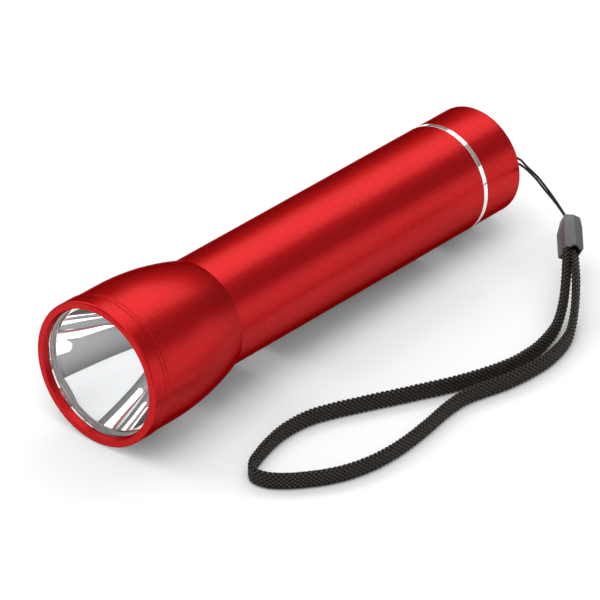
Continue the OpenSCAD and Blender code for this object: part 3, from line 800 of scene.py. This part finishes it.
# Turned parts of the head: each corner is its radius, its distance back and its fillet
bezelRing = {
    "corners": [(15.3, 0, 0.12), (16.95, 0, 0.42), (16.95, 3.72, 0.03), (16.75, 3.82, 0.03),
                (16.95, 3.92, 0.03), (16.95, 4.8, 0.08), (16.15, 4.8, 0.05),
                (16.15, 1.6, 0), (14.95, 1.6, 0.05), (14.95, 1.25, 0.1)],
}
lensDisc = {
    "corners": [(0, 1.65, 0), (15.25, 1.65, 0.15), (15.25, 3.35, 0.15), (0, 3.35, 0)],
}
lensGasket = {
    "corners": [(14.9, 3.4, 0.1), (15.25, 3.4, 0.1), (15.25, 4.0, 0.1), (14.9, 4.0, 0.1)],
}
headShell = {
    "front": [(15.35, 5.2, 0.05), (15.35, 1.9, 0.1), (16.1, 1.9, 0.15), (16.1, 5.05, 0.05),
              (16.75, 5.05, 0.16)],
    "rear": [(13.5, 32.6, 0.12), (12.65, 32.6, 0.05), (12.65, 24.55, 0), (12, 24.55, 0.05),
             (12, 22, 0), (14.8, 15, 0), (14.8, 5.2, 0)],
    "taperStart": 12.0,
    "taperArc": 67.0,
    "taperSteps": 30,
    "thread": {"radius": 16.1, "start": 2.3, "end": 4.8, "pitch": 0.75, "depth": 0.3},
}
reflectorBowl = {
    "mouth": 14.2,
    "hole": 3.4,
    "front": 4.05,
    "end": 22.6,
    "flange": 1.15,
    "wall": 0.9,
    "widest": 14.7,  # outside the bowl, behind the flange
    "rim": 15.25,
    "steps": 56,
    "crowding": 0.8,  # below 1 brings the rings closer together towards the hole
}


def headShellMesh(spec):
    wide = spec["front"][-1][0]
    start, arc = spec["taperStart"], spec["taperArc"]
    end = spec["rear"][0][1]
    taper = []
    for k in range(spec["taperSteps"]):
        s = start + (end - start) * k / spec["taperSteps"]
        taper.append((wide - arc + math.sqrt(arc ** 2 - (s - start) ** 2), s, 0))
    return latheMesh("headShell", spec["front"] + taper + spec["rear"], spec["thread"])


def reflectorMesh(spec):
    spread = (spec["mouth"] ** 2 - spec["hole"] ** 2) / (spec["end"] - spec["front"])

    def bowl(s):
        return math.sqrt(spec["hole"] ** 2 + spread * (spec["end"] - s))

    inside, outside = [], []
    for k in range(spec["steps"] + 1):
        share = (k / spec["steps"]) ** spec["crowding"]
        s = spec["front"] + (spec["end"] - spec["front"]) * share
        inside.append((bowl(s), s, 0))
        s = spec["end"] - (spec["end"] - spec["front"] - spec["flange"]) * k / spec["steps"]
        outside.append((min(bowl(s) + spec["wall"], spec["widest"]), s, 0))
    rim = [(spec["rim"], spec["front"] + spec["flange"], 0.05),
           (spec["rim"], spec["front"], 0.1)]
    return latheMesh("reflectorBowl", inside + outside + rim)


addPiece("bezelRing", latheMesh("bezelRing", bezelRing["corners"]), "bezel",
         "red_anodised", ["bezel_ring"])
addPiece("lensDisc", latheMesh("lensDisc", lensDisc["corners"]), "lens_pack",
         "clear_lens", ["lens"])
addPiece("lensGasket", latheMesh("lensGasket", lensGasket["corners"]), "lens_pack",
         "pale_rubber", ["lens_gasket"])
addPiece("headShell", headShellMesh(headShell), "barrel", "red_anodised", ["head_shell"])
addPiece("reflectorBowl", reflectorMesh(reflectorBowl), "barrel", "mirror_reflector",
         ["reflector"])
print("head made")

# Turned parts of the barrel and the tail, with corners as for the head
barrelTube = {
    "corners": [(11.5, 26, 0.1), (12.6, 26, 0.1), (12.6, 29.1, 0.05), (12.0, 29.1, 0.05),
                (12.0, 29.9, 0.05), (12.6, 29.9, 0.05), (12.6, 32.6, 0), (13, 32.6, 0.1),
                (13, 116.6, 0.08), (12.2, 116.6, 0.05), (12.2, 108, 0), (11.5, 108, 0.1)],
}
trimRing = {
    "corners": [(12.25, 116.62, 0.05), (13.0, 116.62, 0.05), (13.0, 117.88, 0.05),
                (12.25, 117.88, 0.05)],
}
tailCap = {
    "corners": [(10.3, 110, 0.1), (12.15, 110, 0.2), (12.15, 113, 0.05), (11.1, 113, 0.05),
                (11.1, 114.1, 0.05), (12.15, 114.1, 0.05), (12.15, 117.9, 0),
                (13, 117.9, 0.08), (13, 129.7, 0.5), (6.2, 129.7, 0.08), (5.7, 129.2, 0.08),
                (5.7, 126.7, 0), (6.9, 126.7, 0), (6.9, 125.2, 0), (10.3, 125.2, 0)],
    "thread": {"radius": 12.15, "start": 114.3, "end": 117.6, "pitch": 1.5, "depth": 0.45},
    "pocketRing": 8.9,
    "pocketAngle": -10,  # degrees round from the lanyard side, upwards
    "pocketLong": 3.4,
    "pocketWide": 2.4,
    "pocketDeep": 3.0,
    "pocketSides": 48,
}
tailButton = {
    "corners": [(0, 125.4, 0), (6.6, 125.4, 0.1), (6.6, 126.65, 0.1), (5.4, 126.65, 0),
                (5.4, 129.3, 0.5), (3.6, 129.3, 0.1), (3.45, 129.15, 0.1),
                (3.15, 129.15, 0.1), (3.0, 129.3, 0.1), (0, 129.3, 0)],
}


def pocketMesh(spec):
    wide, long = spec["pocketWide"] / 2, spec["pocketLong"] / 2
    sides = spec["pocketSides"]
    bm = bmesh.new()
    outline = []
    for k in range(sides):
        angle = fullTurn * (k + 0.5) / sides
        shift = math.copysign(long - wide, math.sin(angle))
        outline.append((wide * math.cos(angle), wide * math.sin(angle) + shift))
    endFace = max(s for radius, s, fillet in spec["corners"])
    bottom, top = endFace - spec["pocketDeep"], endFace + 1  # stands out by a millimetre
    low = [bm.verts.new((x, y, bottom)) for x, y in outline]
    high = [bm.verts.new((x, y, top)) for x, y in outline]
    bm.faces.new(low[::-1])
    bm.faces.new(high)
    for k in range(sides):
        m = (k + 1) % sides
        bm.faces.new((low[k], low[m], high[m], high[k]))
    spot = (Matrix.Rotation(math.radians(spec["pocketAngle"]), 4, "Z")
            @ Matrix.Translation((spec["pocketRing"], 0, 0)))
    return meshFrom("pocket", bm, torchScale @ spot)


addPiece("barrelTube", latheMesh("barrelTube", barrelTube["corners"]), "barrel",
         "red_anodised", ["barrel_tube"])
addPiece("trimRing", latheMesh("trimRing", trimRing["corners"], guard=0.05), "trim",
         "bright_trim", ["trim_ring"])
capMesh = latheMesh("tailCap", tailCap["corners"], tailCap["thread"])
capMesh = carve(capMesh, [pocketMesh(tailCap)])
addPiece("tailCap", capMesh, "tail", "red_anodised", ["tail_cap"])
addPiece("tailButton", latheMesh("tailButton", tailButton["corners"]), "button",
         "black_rubber", ["tail_button"])
print("barrel and tail made")

# Every frame part that still shows gets the finish of its slot
for name, part in nodes.items():
    if not part.hide_render:
        part.data.materials.clear()
        part.data.materials.append(materials[slotOf[name]])

# The red pieces throw no red light onto the paper
for name in ("bezelRing", "headShell", "barrelTube", "tailCap"):
    bpy.data.objects[name].visible_diffuse = False

# The softboxes, the sky and the paper that the object lies on
studio = {
    # where each softbox stands, as a direction from the object, and its size in metres
    "softboxes": [
        {"name": "backSoftbox", "towards": (-0.24, 0.62, 0.74), "distance": 1.5,
         "size": (1.3, 0.75), "brightness": 1.8},
        {"name": "lowSoftbox", "towards": (0.75, 0.65, 0.10), "distance": 1.5,
         "size": (1.2, 0.6), "brightness": 1.1},
        {"name": "leftSoftbox", "towards": (-0.85, -0.05, 0.60), "distance": 1.6,
         "size": (1.2, 1.2), "brightness": 2.2},
        {"name": "rightSoftbox", "towards": (0.70, -0.50, 0.62), "distance": 1.7,
         "size": (0.9, 0.9), "brightness": 2.0},
        {"name": "topSoftbox", "towards": (0.05, -0.25, 0.97), "distance": 1.8,
         "size": (1.3, 1.3), "brightness": 2.3},
    ],
    "skyLow": 0.10,
    "skyHigh": 0.48,
    "skyTop": 0.9,  # how steeply up the sky reaches its full strength, as a sine
    "floorSize": 8.0,
    "floorColour": (0.96, 0.96, 0.96, 1),
    "floorRoughness": 0.9,
}


def makeStudio(setup):
    for box in setup["softboxes"]:
        wide, tall = box["size"]
        data = bpy.data.lights.new(box["name"], "AREA")
        data.shape = "RECTANGLE"
        data.size, data.size_y = wide, tall
        data.energy = box["brightness"] * math.pi * wide * tall
        light = bpy.data.objects.new(box["name"], data)
        bpy.context.scene.collection.objects.link(light)
        towards = Vector(box["towards"]).normalized()
        light.location = towards * box["distance"]
        light.rotation_mode = "QUATERNION"
        light.rotation_quaternion = towards.to_track_quat("Z", "Y")
    world = bpy.data.worlds.new("studio")
    world.use_nodes = True
    tree = world.node_tree
    upwards = addNode(tree, "ShaderNodeSeparateXYZ", {
        0: addNode(tree, "ShaderNodeTexCoord").outputs["Generated"]}).outputs[2]
    glow = addNode(tree, "ShaderNodeMapRange", {
        "Value": upwards, "From Min": 0.0, "From Max": setup["skyTop"],
        "To Min": setup["skyLow"], "To Max": setup["skyHigh"]})
    tree.links.new(glow.outputs[0], tree.nodes["Background"].inputs["Strength"])
    tree.nodes["Background"].inputs["Color"].default_value = (1, 1, 1, 1)
    bpy.context.scene.world = world

    half = setup["floorSize"] / 2
    mesh = bpy.data.meshes.new("floor")
    mesh.from_pydata([(-half, -half, 0), (half, -half, 0), (half, half, 0),
                      (-half, half, 0)], [], [(0, 1, 2, 3)])
    paper = bpy.data.materials.new("palePaper")
    paper.use_nodes = True
    shader = paper.node_tree.nodes["Principled BSDF"]
    shader.inputs["Base Color"].default_value = setup["floorColour"]
    shader.inputs["Roughness"].default_value = setup["floorRoughness"]
    shader.inputs["Specular IOR Level"].default_value = 0.0
    mesh.materials.append(paper)
    floor = bpy.data.objects.new("floor", mesh)
    bpy.context.scene.collection.objects.link(floor)


makeStudio(studio)
bpy.context.scene.view_settings.view_transform = "Standard"
print("studio made")
